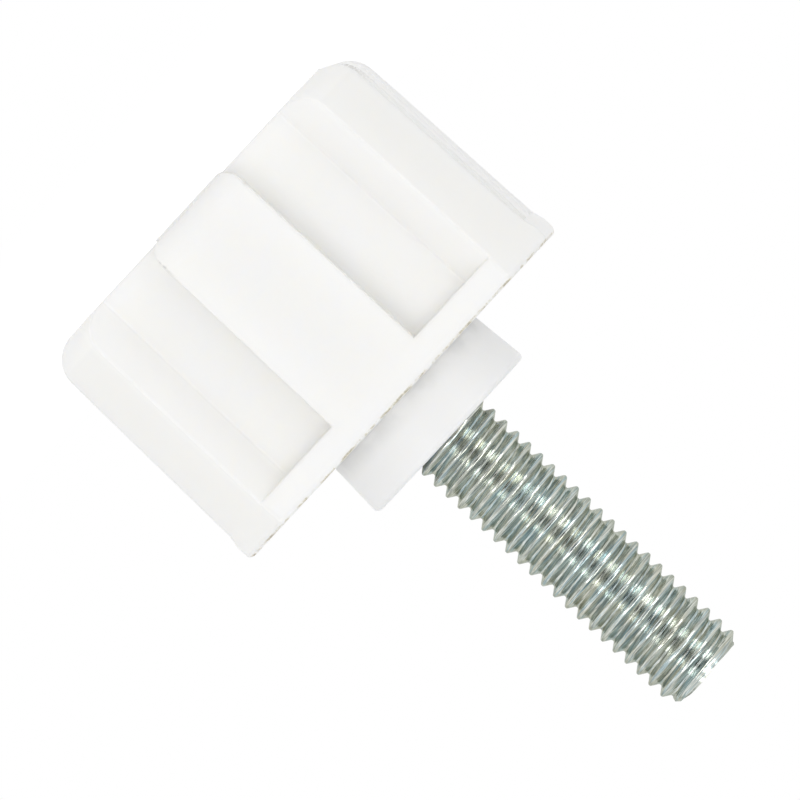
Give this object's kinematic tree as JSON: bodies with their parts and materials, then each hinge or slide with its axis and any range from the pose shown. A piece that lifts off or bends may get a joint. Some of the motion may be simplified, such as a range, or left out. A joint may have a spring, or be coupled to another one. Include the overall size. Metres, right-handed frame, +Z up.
{
  "type": "levelling foot",
  "caption": "White moulded levelling foot: a ribbed square block with a flange and collar, and a threaded M6 steel stud moulded in.",
  "frame": {"origin": "middle of the ground face, on the stud's axis", "axes": "+Z up the stud, away from the ground; X and Y square to the block's sides"},
  "size_m": [0.0266, 0.0266, 0.0428],
  "materials": {
    "white_plastic": "moulded, satin, slightly warm white",
    "zinc_plated_steel": "bright zinc plating with a faint blue-green cast"
  },
  "bodies": {
    "root": {"moulded_foot": "white_plastic", "threaded_stud": "zinc_plated_steel"}
  },
  "joints": []
}
